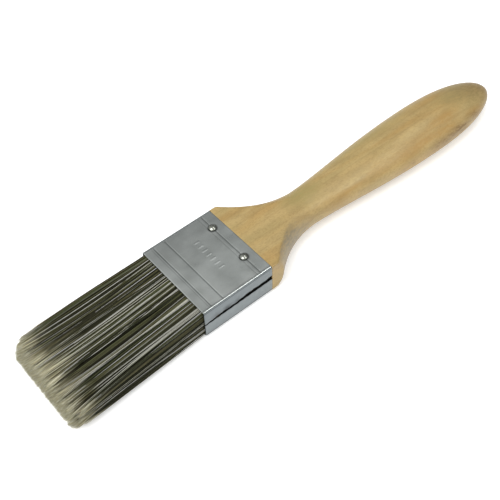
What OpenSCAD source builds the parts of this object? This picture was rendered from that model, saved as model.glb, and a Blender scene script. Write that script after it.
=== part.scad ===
// Flat wall paint brush with a wooden handle, a folded steel ferrule and
// synthetic filament. It lies on its broad face: X runs from the filament
// tips to the end of the handle, Y runs across the width and Z is up.
// The origin is under the middle of the brush, level with its lowest point.

/* [Ferrule] */
// Outside width of the ferrule, 1.2 more than the nominal size of the brush
ferrule_w = 39.2; // [37:0.1:44]
// Thickness of the ferrule
ferrule_t = 15; // [14:0.25:17]
// Length of the ferrule
ferrule_len = 33.5; // [32:0.5:38]
// Thickness of the folded sheet
sheet_t = 0.5; // [0.4:0.05:0.6]
// Outside radius of the four bends
bend_r = 0.85; // [0.8:0.05:1.5]
// Depth of the pressed lines across both broad faces
line_depth = 0.1; // [0.05:0.05:0.2]
// Opening between the two sheet edges at the handle end of the seam
seam_wide = 2.2; // [1.6:0.1:2.6]
// Opening between the two sheet edges at the mouth end of the seam
seam_thin = 0.8; // [0.5:0.1:1.2]

/* [Pins] */
// Diameter of the domed pin heads
pin_head_d = 3.3; // [2.8:0.1:3.3]
// Height of the domed pin heads
pin_head_h = 0.8; // [0.6:0.05:1]
// Diameter of the pin shanks
pin_shank_d = 1.4; // [1:0.1:1.6]
// Distance between the two pins of one face
pin_spacing = 19.6; // [16:0.2:22]
// Sideways shift of the pins from the middle of the brush
pin_shift = 1.4; // [0:0.1:2]

/* [Handle] */
// Length of the handle outside the ferrule
handle_len = 146.5; // [130:0.5:160]
// Width of the narrow neck
neck_w = 17.3; // [15:0.1:19]
// Thickness of the neck
neck_t = 13.3; // [12.4:0.1:14]
// Distance of the neck from the ferrule
neck_x = 32.8; // [30:0.1:38]
// Width of the grip at its widest
grip_w = 27; // [23:0.2:30]
// Thickness of the grip at its widest
grip_t = 15.6; // [14.5:0.1:16.4]
// Distance of the widest part of the grip from the ferrule
grip_x = 103.5; // [92:1:110]

/* [Filament] */
// Length of the filament outside the ferrule
filament_out = 62; // [50:0.5:70]
// Width of the filament at the mouth of the ferrule
root_w = 37.6; // [37:0.1:37.8]
// Width of the filament near its tips
tip_w = 42; // [38:0.5:43]
// Thickness of the filament pack where it leaves the ferrule
pack_t = 13.6; // [12.8:0.1:13.8]
// Thickness of the filament pack at its tips
tip_t = 10; // [8:0.2:11]
// Thickness of each spacer strip in the root
spacer_t = 1.5; // [1:0.1:1.6]

/* [Hidden] */
// Small gap left between glued or pressed neighbours
fit_gap = 0.05;
// Smallest gap between filament that bends and anything that stays still
bend_gap = 0.4;

// Stations along X
total_len = filament_out + ferrule_len + handle_len;
tip_x = -total_len / 2;
mouth_x = tip_x + filament_out;
collar_x = mouth_x + ferrule_len;
end_x = total_len / 2;

// The lowest point of the brush is the crown of a pin head
mid_z = ferrule_t / 2 + pin_head_h;

// Inside of the ferrule
cavity_w = ferrule_w - 2 * sheet_t;
cavity_t = ferrule_t - 2 * sheet_t;

// Pressed lines, as distances from the mouth of the ferrule
bold_lines = [4.5, 10, ferrule_len - 4.9];
faint_lines = [3.6, ferrule_len - 6.55];
bold_line_w = 0.4;
faint_line_w = 0.25;
pin_x = mouth_x + bold_lines[2];

// Row of plain ticks pressed into the front face
tick_count = 7;
tick_pitch = 2.6;
tick_w = 0.7;
tick_len = 2.6;
tick_h = 0.06;
tick_x = mouth_x + 19;

// Sheet seam along one narrow side
seam_z_mouth = mid_z;
seam_z_collar = mid_z + 1.1;
seam_steps = 16;
seam_wave = 0.22;
seam_wave_turn = 840;
seam_wave_start = -95;

// Pins
pin_rim_h = 0.15;
pin_len = 5.8;
pin_point_len = 1.4;
pin_hole_gap = 0.05;
pin_y = [pin_shift - pin_spacing / 2, pin_shift + pin_spacing / 2];

// Handle: the shoulder is a tapering rounded bar, cut flat on its two broad
// faces and its two narrow sides so that it meets the ferrule as a rectangle
shoulder_raw_w = 51.5;
shoulder_raw_t = 22.8;
shoulder_flat_w = ferrule_w;
shoulder_flat_t = ferrule_t - 0.3;
shoulder_curve = 2.2;
shoulder_thin_curve = 1.1;
shoulder_round = 2.9;
grip_round = 2.2;
grip_swell_curve = 0.78;
end_curve = 2.3;
tenon_len = 19.45;
tenon_overlap = 1;

// Rings of the handle surface and steps round a quarter of each ring
shoulder_rings = 20;
grip_rings = 14;
end_rings = 15;
side_steps = 3;
corner_steps = 8;
face_steps = 4;
corner_angle = 3;

// Resin plug and the pocket that holds the filament butts
resin_start = 9;
resin_end = ferrule_len - tenon_len - fit_gap;
pocket_end = 12;
pocket_w = 37;
pocket_t = 12.9;

// Filament layers: outer, middle, outer, with two spacer strips between
middle_t = 3;
butt_w = pocket_w - 2 * fit_gap;
spacer_mid = (middle_t + spacer_t) / 2 + fit_gap;
outer_low = middle_t / 2 + spacer_t + 2 * fit_gap;
outer_high = pack_t / 2;
butt_high = pocket_t / 2 - fit_gap;
spacer_out = 2;

// Bending: the filament swings about a line just outside the mouth
hinge_out = 8;
hinge_x = mouth_x - hinge_out;
hinge_r = pack_t / 2 + 0.1;
lip_out = 5.2;
tip_corner_r = 7;
tip_chisel = 2.5;

eps = 0.01;
$fn = 72;

// ---------------------------------------------------------------- handle

// Share of the way from the ferrule to the neck, 0 to 1
function shoulder_share(u) = min(1, max(0, u / neck_x));

// Share of the swelling from the neck to the grip, 0 to 1
function grip_share(u) =
    let (s = min(1, max(0, (u - neck_x) / (grip_x - neck_x))))
    (1 - cos(180 * pow(s, grip_swell_curve))) / 2;

// Factor that closes the rounded end, 1 along the grip and 0 at the end
function end_factor(u) =
    let (s = min(1, max(0, (u - grip_x) / (handle_len - grip_x))))
    sqrt(1 - pow(s, end_curve));

// Half width at a distance u from the ferrule, before the sides are cut flat
function half_width(u) =
    u < neck_x
        ? (neck_w + (shoulder_raw_w - neck_w) * pow(1 - shoulder_share(u), shoulder_curve)) / 2
        : (neck_w + (grip_w - neck_w) * grip_share(u)) / 2 * end_factor(u);

// Half thickness before the broad faces are cut flat
function half_thick(u) =
    u < neck_x
        ? (neck_t + (shoulder_raw_t - neck_t) * pow(1 - shoulder_share(u), shoulder_thin_curve)) / 2
        : (neck_t + (grip_t - neck_t) * grip_share(u)) / 2 * end_factor(u);

// Exponent of the section: large is square, 2 is an ellipse
function roundness(u) = grip_round + (shoulder_round - grip_round) * (1 - shoulder_share(u));

// Half of an axis of the rounded section, at a given distance along the other axis
function across_at(half, other_half, other, n) =
    other < other_half ? half * pow(1 - pow(other / other_half, n), 1 / n) : 0;

// Direction in which the flat broad face ends, which fades out before the neck
function face_edge_angle(u) =
    let (w = half_width(u), h = half_thick(u), n = roundness(u), flat = shoulder_flat_t / 2,
         edge = max(min(shoulder_flat_w / 2, across_at(w, h, flat, n)), 0.35 * w))
    atan2(min(flat, across_at(h, w, edge, n)), edge);

// Direction in which the flat narrow side ends, which fades out sooner
function side_edge_angle(u) =
    let (w = half_width(u), h = half_thick(u), n = roundness(u), flat = shoulder_flat_w / 2,
         edge = max(min(shoulder_flat_t / 2, across_at(h, w, flat, n)), 0.3 * h))
    atan2(edge, min(flat, across_at(w, h, edge, n)));

// Distance from the middle of the section to its edge in one direction
function reach(u, angle) =
    let (n = roundness(u), c = cos(angle), s = sin(angle),
         rounded = pow(pow(c / half_width(u), n) + pow(s / half_thick(u), n), -1 / n))
    u < neck_x
        ? min(rounded, shoulder_flat_w / 2 / max(c, eps), shoulder_flat_t / 2 / max(s, eps))
        : rounded;

// Directions of the points of a quarter ring, from the side to the middle of the face
function quarter_angles(u) =
    let (corner = atan2(shoulder_flat_t, shoulder_flat_w), spare = corner_angle / 2,
         low = min(side_edge_angle(u), corner - spare),
         high = max(face_edge_angle(u), corner + spare))
    concat(
        [for (i = [0 : side_steps - 1]) low * i / side_steps],
        [for (i = [0 : corner_steps - 1]) low + (high - low) * i / corner_steps],
        [for (i = [0 : face_steps]) high + (90 - high) * i / face_steps]);

function quarter(u) =
    [for (a = quarter_angles(u)) [reach(u, a) * cos(a), reach(u, a) * sin(a)]];

// A full ring, built from its quarter by mirroring
function ring(u) =
    let (q = quarter(u), m = len(q))
    concat(
        [for (i = [m - 1 : -1 : 0]) q[i]],
        [for (i = [1 : m - 1]) [q[i][0], -q[i][1]]],
        [for (i = [m - 2 : -1 : 0]) [-q[i][0], -q[i][1]]],
        [for (i = [1 : m - 2]) [-q[i][0], q[i][1]]]);

// Distances of all rings from the ferrule, closer together at the end
ring_stations = concat(
    [for (i = [0 : shoulder_rings - 1]) neck_x * i / shoulder_rings],
    [for (i = [0 : grip_rings - 1]) neck_x + (grip_x - neck_x) * i / grip_rings],
    [for (i = [0 : end_rings - 1])
        grip_x + (handle_len - grip_x) * sin(90 * i / end_rings)]);

module handle_surface() {
    rings = len(ring_stations);
    around = len(ring(0));
    skin = [for (u = ring_stations, p = ring(u)) [collar_x + u, p[0], mid_z + p[1]]];
    start_point = rings * around;
    end_point = start_point + 1;
    centres = [[collar_x, 0, mid_z], [end_x, 0, mid_z]];
    sides = [for (i = [0 : rings - 2], j = [0 : around - 1])
        let (k = (j + 1) % around, a = i * around, b = a + around)
        each [[a + j, b + k, b + j], [a + j, a + k, b + k]]];
    start_cap = [for (j = [0 : around - 1]) [start_point, (j + 1) % around, j]];
    last = (rings - 1) * around;
    end_cap = [for (j = [0 : around - 1]) [last + j, last + (j + 1) % around, end_point]];
    polyhedron(points = concat(skin, centres), faces = concat(sides, start_cap, end_cap));
}

module tenon() {
    along_x(collar_x - tenon_len, tenon_len + tenon_overlap)
        fitted_section();
}

module handle() {
    color("#c9ab74")
    difference() {
        union() {
            handle_surface();
            tenon();
        }
        each_pin() pin_hole();
    }
}

// --------------------------------------------------------------- ferrule

module rounded_section(w, t, r) {
    square([w - 2 * r, t], center = true);
    square([w, t - 2 * r], center = true);
    for (sy = [-1, 1], sz = [-1, 1])
        translate([sy * (w / 2 - r), sz * (t / 2 - r)])
            circle(r);
}

// Section that fills the inside of the ferrule with a small gap all round
module fitted_section() {
    rounded_section(cavity_w - 2 * fit_gap, cavity_t - 2 * fit_gap,
                    bend_r - sheet_t - fit_gap);
}

// Turns a flat YZ section into a bar along X
module along_x(start, length) {
    translate([start, 0, mid_z])
        rotate([90, 0, 90])
            linear_extrude(length)
                children();
}

module pressed_line(out, w) {
    for (side = [-1, 1])
        translate([mouth_x + out - w / 2, -ferrule_w / 2 + bend_r,
                   mid_z + side * ferrule_t / 2 - line_depth])
            cube([w, ferrule_w - 2 * bend_r, 2 * line_depth]);
}

// Height of the lower and the upper sheet edge along the seam
function seam_mid(s) = seam_z_mouth + (seam_z_collar - seam_z_mouth) * s;
function seam_half(s) = (seam_thin + (seam_wide - seam_thin) * s) / 2;
function seam_low(s) = seam_mid(s) - seam_half(s);
function seam_high(s) = seam_mid(s) + seam_half(s) + seam_wave * sin(seam_wave_turn * s + seam_wave_start);

module seam() {
    shares = [for (i = [0 : seam_steps]) i / seam_steps];
    past = 0.02;
    low = [for (s = shares) [mouth_x + ferrule_len * (s * (1 + 2 * past) - past), seam_low(s)]];
    high = [for (s = shares) [mouth_x + ferrule_len * (s * (1 + 2 * past) - past), seam_high(s)]];
    back = [for (i = [seam_steps : -1 : 0]) high[i]];
    translate([0, -ferrule_w / 2 + 1.5 * sheet_t, 0])
        rotate([90, 0, 0])
            linear_extrude(2 * sheet_t)
                polygon(concat(low, back));
}

module ticks() {
    for (i = [0 : tick_count - 1])
        translate([tick_x - tick_len / 2,
                   (i - (tick_count - 1) / 2) * tick_pitch + pin_shift - tick_w / 2,
                   mid_z + ferrule_t / 2 - tick_h])
            cube([tick_len, tick_w, 2 * tick_h]);
}

module ferrule() {
    color("#a9acad") {
        difference() {
            along_x(mouth_x, ferrule_len)
                rounded_section(ferrule_w, ferrule_t, bend_r);
            along_x(mouth_x - 1, ferrule_len + 2)
                rounded_section(cavity_w, cavity_t, bend_r - sheet_t);
            for (out = bold_lines)
                pressed_line(out, bold_line_w);
            for (out = faint_lines)
                pressed_line(out, faint_line_w);
            seam();
            each_pin() pin_hole();
        }
        ticks();
    }
}

// ------------------------------------------------------------------ pins

// Repeats a pin drawn with its head up at z = 0 on both broad faces
module each_pin() {
    for (y = pin_y) {
        translate([pin_x, y, mid_z + ferrule_t / 2])
            children();
        translate([pin_x, y, mid_z - ferrule_t / 2])
            rotate([180, 0, 0])
                children();
    }
}

module pin_hole() {
    translate([0, 0, -pin_len - pin_hole_gap])
        cylinder(h = pin_len + 1, d = pin_shank_d + 2 * pin_hole_gap);
}

module pin() {
    dome_h = pin_head_h - pin_rim_h;
    dome_r = (pow(pin_head_d / 2, 2) + pow(dome_h, 2)) / (2 * dome_h);
    cylinder(h = pin_rim_h, d = pin_head_d);
    intersection() {
        translate([0, 0, pin_head_h - dome_r])
            sphere(dome_r);
        translate([0, 0, pin_rim_h - eps])
            cylinder(h = pin_head_h, d = pin_head_d);
    }
    translate([0, 0, -pin_len + pin_point_len])
        cylinder(h = pin_len - pin_point_len + eps, d = pin_shank_d);
    translate([0, 0, -pin_len])
        cylinder(h = pin_point_len, d1 = 0.2, d2 = pin_shank_d);
}

module ferrule_pins() {
    color("#d5d7d8")
    each_pin() pin();
}

// ------------------------------------------------- resin and spacer strips

module resin_plug() {
    color("#b08a3a")
    difference() {
        along_x(mouth_x + resin_start, resin_end - resin_start)
            fitted_section();
        translate([mouth_x + resin_start - 1, -pocket_w / 2, mid_z - pocket_t / 2])
            cube([pocket_end - resin_start + 1, pocket_w, pocket_t]);
    }
}

module spacer(side) {
    translate([mouth_x + spacer_out, -butt_w / 2, mid_z + side * spacer_mid - spacer_t / 2])
        cube([pocket_end - fit_gap - spacer_out, butt_w, spacer_t]);
}

module front_spacer() {
    color("#b99560") spacer(1);
}

module back_spacer() {
    color("#b99560") spacer(-1);
}

// -------------------------------------------------------------- filament

// Round bar on the line that the filament bends about
module bend_bar(r) {
    translate([hinge_x, -ferrule_w, mid_z])
        rotate([-90, 0, 0])
            cylinder(h = 2 * ferrule_w, r = r, $fn = 120);
}

// Fixed part of a layer: butt in the resin, and a short lip outside the mouth
module root_layer(low, high, butt_low, butt_top) {
    difference() {
        union() {
            translate([mouth_x - lip_out, -root_w / 2, mid_z + low])
                cube([lip_out + resin_start - 0.5, root_w, high - low]);
            translate([mouth_x, -butt_w / 2, mid_z + butt_low])
                cube([pocket_end - fit_gap, butt_w, butt_top - butt_low]);
        }
        bend_bar(hinge_r + bend_gap);
    }
}

// Outline of the free filament seen from above
module free_plan() {
    corner_x = tip_x + tip_corner_r;
    corner_y = tip_w / 2 - tip_corner_r;
    translate([0, 0, mid_z - ferrule_t])
        linear_extrude(2 * ferrule_t) {
            polygon([[mouth_x, -root_w / 2], [mouth_x, root_w / 2],
                     [corner_x, tip_w / 2], [corner_x, -tip_w / 2]]);
            translate([tip_x, -corner_y])
                square([tip_corner_r + eps, 2 * corner_y]);
            for (side = [-1, 1])
                translate([corner_x, side * corner_y])
                    circle(tip_corner_r);
        }
}

// Side view of a free layer: root edge heights, then tip edge heights
module free_side(low, high, tip_low, tip_high, low_back, high_back) {
    translate([0, ferrule_w, mid_z])
        rotate([90, 0, 0])
            linear_extrude(2 * ferrule_w)
                polygon([[hinge_x, low], [hinge_x, high],
                         [tip_x + high_back, tip_high], [tip_x + low_back, tip_low]]);
}

module free_layer(low, high, tip_low, tip_high, low_back, high_back) {
    intersection() {
        union() {
            free_side(low, high, tip_low, tip_high, low_back, high_back);
            intersection() {
                bend_bar(hinge_r);
                translate([hinge_x - eps, -ferrule_w, mid_z + low])
                    cube([2 * hinge_r, 2 * ferrule_w, high - low]);
            }
        }
        free_plan();
    }
}

module front_filament_root() {
    color("#55523f") root_layer(outer_low, outer_high, outer_low, butt_high);
}

module middle_filament_root() {
    color("#4c4938")
    root_layer(-middle_t / 2, middle_t / 2, -middle_t / 2, middle_t / 2);
}

module back_filament_root() {
    color("#55523f") mirror_z() root_layer(outer_low, outer_high, outer_low, butt_high);
}

module front_filament() {
    color("#6b6850") outer_free_layer();
}

module middle_filament() {
    color("#5d5a45")
    free_layer(-middle_t / 2, middle_t / 2, -middle_t / 2, middle_t / 2, 0, 0);
}

module back_filament() {
    color("#6b6850") mirror_z() outer_free_layer();
}

module outer_free_layer() {
    free_layer(outer_low, outer_high, middle_t / 2 + 2 * fit_gap, tip_t / 2,
               tip_chisel / 2, tip_chisel);
}

// Mirrors a layer to the other side of the middle plane
module mirror_z() {
    translate([0, 0, 2 * mid_z])
        mirror([0, 0, 1])
            children();
}

handle();
ferrule();
ferrule_pins();
resin_plug();
front_spacer();
back_spacer();
front_filament_root();
middle_filament_root();
back_filament_root();
front_filament();
middle_filament();
back_filament();
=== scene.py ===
"""Looks of a flat paint brush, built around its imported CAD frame.

X runs from the filament tips to the end of the handle, Y across the width and Z up.
Lengths below are in millimetres and are turned into metres where meshes are made.
"""

import math

import bpy
import numpy as np
from mathutils import Matrix, Vector


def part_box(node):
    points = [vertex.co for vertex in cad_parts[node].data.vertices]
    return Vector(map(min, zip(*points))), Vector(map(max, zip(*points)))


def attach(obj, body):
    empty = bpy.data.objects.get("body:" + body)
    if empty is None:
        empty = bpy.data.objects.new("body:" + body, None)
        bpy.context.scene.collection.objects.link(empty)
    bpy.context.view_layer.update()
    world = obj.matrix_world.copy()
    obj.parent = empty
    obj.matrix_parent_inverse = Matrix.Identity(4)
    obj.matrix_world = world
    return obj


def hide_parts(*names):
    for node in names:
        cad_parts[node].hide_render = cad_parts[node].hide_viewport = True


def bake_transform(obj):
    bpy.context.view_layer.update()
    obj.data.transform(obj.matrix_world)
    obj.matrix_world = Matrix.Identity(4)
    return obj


MM = 0.001

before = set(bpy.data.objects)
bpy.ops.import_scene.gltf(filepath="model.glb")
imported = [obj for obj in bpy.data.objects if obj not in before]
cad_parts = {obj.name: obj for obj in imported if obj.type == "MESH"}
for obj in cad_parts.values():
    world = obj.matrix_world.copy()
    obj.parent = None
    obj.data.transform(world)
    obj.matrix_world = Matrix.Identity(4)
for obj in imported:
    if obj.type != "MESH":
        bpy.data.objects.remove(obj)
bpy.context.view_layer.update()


def node_box(name):
    """Lowest and highest corner of a CAD node, in millimetres."""
    low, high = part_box(name)
    return np.array(low) / MM, np.array(high) / MM


# --- stations from the frame

FERRULE_LOW, FERRULE_HIGH = node_box("ferrule")
HANDLE_LOW, HANDLE_HIGH = node_box("handle")
PINS_LOW, PINS_HIGH = node_box("ferrule_pins")
TIPS_LOW, _ = node_box("middle_filament")
RESIN_LOW, RESIN_HIGH = node_box("resin_plug")

MOUTH_X = FERRULE_LOW[0]
COLLAR_X = FERRULE_HIGH[0]
END_X = HANDLE_HIGH[0]
TIP_X = TIPS_LOW[0]
MID_Z = (PINS_LOW[2] + PINS_HIGH[2]) / 2
FERRULE_W = FERRULE_HIGH[1] - FERRULE_LOW[1]
FERRULE_T = 2 * (MID_Z - FERRULE_LOW[2])
FERRULE_LEN = COLLAR_X - MOUTH_X
HANDLE_LEN = END_X - COLLAR_X
PIN_HEAD_H = PINS_HIGH[2] - MID_Z - FERRULE_T / 2


# --- mesh helpers


def new_object(data, material=None):
    """An object in the scene, named after its mesh, lamp or camera."""
    if material:
        data.materials.append(material)
    obj = bpy.data.objects.new(data.name, data)
    bpy.context.scene.collection.objects.link(obj)
    return obj


def mesh_from_arrays(name, points_mm, faces):
    """A smooth mesh from points and from blocks of faces, each block an array of corner indices."""
    mesh = bpy.data.meshes.new(name)
    corners = np.concatenate([block.ravel() for block in faces]).astype(np.int32)
    sizes = np.concatenate([np.full(len(block), block.shape[1]) for block in faces])
    starts = np.concatenate([[0], np.cumsum(sizes)[:-1]]).astype(np.int32)
    mesh.vertices.add(len(points_mm))
    mesh.vertices.foreach_set("co", (points_mm * MM).astype(np.float32).ravel())
    mesh.loops.add(len(corners))
    mesh.loops.foreach_set("vertex_index", corners)
    mesh.polygons.add(len(sizes))
    mesh.polygons.foreach_set("loop_start", starts)
    mesh.update(calc_edges=True)
    mesh.validate()
    mesh.polygons.foreach_set("use_smooth", np.ones(len(sizes), dtype=bool))
    return mesh


def tube_faces(rows, around, first=0):
    """Quads between neighbouring rings of points."""
    k, j = np.meshgrid(np.arange(rows - 1), np.arange(around), indexing="ij")
    nxt = (j + 1) % around
    a = first + k * around
    return np.stack([a + j, a + around + j, a + around + nxt, a + nxt], -1).reshape(-1, 4)


def cap_faces(first, around, centre, turned=False):
    """Triangles between a ring of points and its centre, facing the other way when turned."""
    j = first + np.arange(around)
    nxt = np.roll(j, -1)
    pair = [nxt, j] if turned else [j, nxt]
    return np.stack([*pair, np.full(around, centre)], -1)


def set_attributes(mesh, **values):
    """Gives the mesh one number for each point under each name, for its material to read."""
    for name, numbers in values.items():
        attribute = mesh.attributes.new(name, "FLOAT", "POINT")
        attribute.data.foreach_set("value", np.asarray(numbers, np.float32).ravel())


def smooth_min(a, b, k):
    """Smaller of a and b, with the corner between them rounded over a length k."""
    share = np.clip(0.5 + 0.5 * (b - a) / k, 0, 1)
    return b + (a - b) * share - k * share * (1 - share)


def share_between(value, low, high):
    """0 at low and below, 1 at high and above, and a straight rise between them."""
    return np.clip((value - low) / (high - low), 0, 1)


def smooth_step(value, low, high):
    """Like share_between, with a smooth start and end of the rise."""
    t = share_between(value, low, high)
    return t * t * (3 - 2 * t)


def bell(distance, width):
    """1 at no distance, falling smoothly to nearly 0 at twice the width."""
    return np.exp(-((distance / width) ** 2))


# --- node tree helpers


class Tree:
    """The node tree of a material or the world, with short calls for its nodes."""

    def __init__(self, owner, shader="Principled BSDF"):
        owner.use_nodes = True
        self.owner = owner
        self.nodes = owner.node_tree.nodes
        self.links = owner.node_tree.links
        self.shader = self.nodes[shader]

    def add(self, kind, **settings):
        node = self.nodes.new("ShaderNode" + kind)
        for key, value in settings.items():
            setattr(node, key, value)
        return node

    def feed(self, socket, value):
        if isinstance(value, bpy.types.NodeSocket):
            self.links.new(value, socket)
        elif isinstance(value, (tuple, list)) and len(value) == 3 and socket.type == "RGBA":
            socket.default_value = (*value, 1)
        else:
            socket.default_value = value

    def fill(self, node, **values):
        """Feeds inputs of a node by name, with spaces written as underscores."""
        for key, value in values.items():
            self.feed(node.inputs[key.replace("_", " ")], value)

    def shine(self, **values):
        self.fill(self.shader, **values)

    def place(self, size_mm, turn=(0, 0, 0), shift=(0, 0, 0)):
        """Object coordinates, scaled so that one unit is size_mm along each axis."""
        mapping = self.add("Mapping")
        self.fill(mapping, Vector=self.add("TexCoord").outputs["Object"])
        self.fill(mapping, Scale=[1 / (s * MM) for s in size_mm], Rotation=turn, Location=shift)
        return mapping.outputs["Vector"]

    def noise(self, size_mm, detail=2.0, rough=0.5, distort=0.0, **placing):
        """Soft random pattern, whose features are about size_mm long on each axis."""
        node = self.add("TexNoise")
        self.fill(node, Scale=1, Detail=detail, Roughness=rough, Distortion=distort)
        self.fill(node, Vector=self.place(size_mm, **placing))
        return node.outputs["Fac"]

    def maths(self, operation, a, b=0.0, clamp=False):
        node = self.add("Math", operation=operation, use_clamp=clamp)
        self.feed(node.inputs[0], a)
        self.feed(node.inputs[1], b)
        return node.outputs[0]

    def spread(self, value, low, high, to_low=0.0, to_high=1.0):
        """Maps low...high to to_low...to_high with a smooth step, and holds it outside."""
        node = self.add("MapRange", interpolation_type="SMOOTHSTEP")
        self.fill(node, Value=value, From_Min=low, From_Max=high, To_Min=to_low, To_Max=to_high)
        return node.outputs["Result"]

    def mix(self, share, a, b, blend="MIX"):
        node = self.add("Mix", data_type="RGBA", blend_type=blend)
        self.feed(node.inputs["Factor"], share)
        self.feed(node.inputs[6], a)
        self.feed(node.inputs[7], b)
        return node.outputs[2]

    def overlay(self, colour, other, value, low, high, most):
        """Mixes in none of another colour where value is below low, and most of it above high."""
        return self.mix(self.spread(value, low, high, 0, most), colour, other)

    def attribute(self, name):
        return self.add("Attribute", attribute_name=name).outputs["Fac"]

    def axis(self, vector, name):
        node = self.add("SeparateXYZ")
        self.fill(node, Vector=vector)
        return node.outputs[name]

    def bump(self, height, depth_mm, strength=1.0, normal=None):
        node = self.add("Bump")
        self.fill(node, Height=height, Distance=depth_mm * MM, Strength=strength)
        if normal is not None:
            self.fill(node, Normal=normal)
        return node.outputs["Normal"]


def material_tree(name):
    return Tree(bpy.data.materials.new(name))


# --- materials


# Colours of marks on the handle: some are the wood's own colours and stains, some are painted highlight
# and painted shade
MARK_COLOURS = {
    # Olive patches, and painted shade at the neck and the end
    "green": (0.300, 0.238, 0.086),
    # Painted highlight along the grip
    "cream": (0.520, 0.400, 0.190),
    "warm": (0.330, 0.190, 0.048),
    # Painted shade
    "painted_shade": (0.215, 0.172, 0.100),
    # Stains, and painted shade over the handle end
    "stain_and_shade": (0.175, 0.098, 0.026),
}
# Painted shade inside the ferrule
INSIDE_SHADE = (0.010, 0.010, 0.008)
EDGE_SHADE = 0.6


def wood_material(name, pale, amber, olive, dark, lacquer):
    """Pale mottled wood with long patches of amber and olive, faint grain lines and fine fibres."""
    tree = material_tree(name)
    figure = tree.noise((60, 8, 8), 3, 0.55, 0.5, turn=(0, 0.02, 0.04))
    colour = tree.mix(tree.spread(figure, 0.34, 0.58), amber, pale)
    patches = tree.noise((30, 8, 8), 2, 0.5, turn=(0, 0, 0.05), shift=(3.1, 0.4, 0.7))
    colour = tree.overlay(colour, olive, patches, 0.46, 0.66, 0.35)
    grain = tree.add("TexWave", wave_type="BANDS", bands_direction="Y", wave_profile="SAW")
    tree.fill(grain, Vector=tree.place((90, 15, 22), turn=(0.5, 0, 0.07)))
    tree.fill(grain, Scale=1, Distortion=4.5, Detail=2, Detail_Scale=0.7)
    colour = tree.overlay(colour, dark, grain.outputs["Fac"], 0.80, 1.0, 0.20)
    fibres = tree.noise((3.2, 0.2, 0.2), 3, 0.6)
    colour = tree.overlay(colour, dark, fibres, 0.5, 0.75, 0.20)
    flecks = tree.noise((1.1, 0.6, 0.6), 2, 0.6, shift=(9, 2, 5))
    colour = tree.overlay(colour, dark, flecks, 0.42, 0.72, 0.32)
    cloud = tree.noise((8, 3.5, 3.5), 3, 0.55, shift=(1, 7, 3))
    tint = tree.mix(tree.spread(cloud, 0.3, 0.7), (0.90, 0.90, 0.89), (1.06, 1.06, 1.06))
    colour = tree.mix(1.0, colour, tint, "MULTIPLY")
    blotches = tree.noise((2.6, 1.0, 1.0), 3, 0.65, shift=(6, 1, 8))
    blotches = tree.spread(blotches, 0.38, 0.64, 0.6, 1.25)
    # Marks given on the mesh, among them a painted highlight along the grip and painted shade on the
    # shoulder sides, neck and end
    for mark, mark_colour in MARK_COLOURS.items():
        share = tree.maths("MULTIPLY", tree.attribute(mark), blotches, clamp=True)
        colour = tree.mix(share, colour, mark_colour)
    # Painted shade: darker where the surface turns away from the view, towards the outline
    edge = tree.add("LayerWeight")
    tree.fill(edge, Blend=0.5)
    colour = tree.overlay(colour, dark, edge.outputs["Facing"], 0.72, 0.98, EDGE_SHADE)
    # Painted shade on the tenon inside the ferrule, seen through the seam
    colour = tree.mix(tree.attribute("hidden"), colour, INSIDE_SHADE)
    rough = tree.spread(cloud, 0.3, 0.7, 0.46, 0.58)
    open_wood = tree.maths("SUBTRACT", 1.0, tree.attribute("hidden"))
    tree.shine(Base_Color=colour, Roughness=rough, IOR=1.5)
    tree.shine(Specular_IOR_Level=tree.maths("MULTIPLY", open_wood, 0.4))
    tree.shine(Coat_Weight=tree.maths("MULTIPLY", open_wood, lacquer), Coat_Roughness=0.3, Coat_IOR=1.45)
    normal = tree.bump(fibres, 0.05, 0.3)
    tree.shine(Normal=tree.bump(flecks, 0.04, 0.25, normal))
    return tree.owner


# Painted shade in the pressed lines, round the pins, along the seam and inside the sheet
SHEET_SHADE_DARK = (0.030, 0.032, 0.030)
# Darker tone of the rolling lines, also used as painted shade towards the +Y side
ROLLING_AND_SHADE_DARK = (0.30, 0.315, 0.31)
SPOT_DARK = (0.24, 0.25, 0.24)
# Painted shade: the seam side of the sheet darker and bluer, less so on the lower flap
FLAP_SHADE_TINT = (0.445, 0.472, 0.505)
LOWER_FLAP_SHADE = 0.85
# Painted shade on the +Y fold, in place of its bright reflection
FOLD_SHADE_TINT = (0.42, 0.43, 0.44)


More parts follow.
